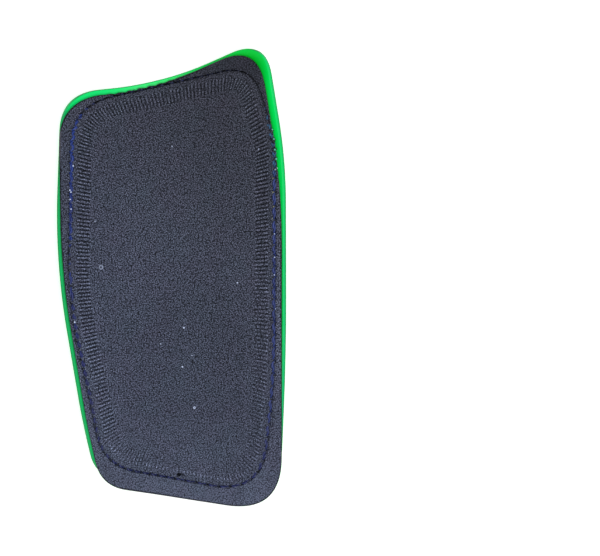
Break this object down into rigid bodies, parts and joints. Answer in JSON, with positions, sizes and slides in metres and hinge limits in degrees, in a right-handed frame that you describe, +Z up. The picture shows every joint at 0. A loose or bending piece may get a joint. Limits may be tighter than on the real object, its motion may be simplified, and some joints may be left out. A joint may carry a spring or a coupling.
{
  "type": "soccer shin guard",
  "caption": "Slip-in shin guard: a curved plastic shell lined with a moulded foam pad that has a ribbed, sewn border; protects the front of the lower leg.",
  "frame": {"origin": "under the middle of the guard, on the surface that its front lies on", "axes": "+Y runs along the guard to the knee end, +Z points up out of the hollow to the leg, +X is to the right as seen from the leg side"},
  "size_m": [0.0999, 0.2001, 0.026],
  "materials": {
    "shell_plastic": "bright green moulded plastic, satin gloss",
    "foam": "dark slate closed-cell foam, matte and finely grained",
    "thread": "blue twisted sewing thread"
  },
  "bodies": {
    "root": {"shell": "shell_plastic", "foam_pad": "foam"}
  },
  "joints": []
}
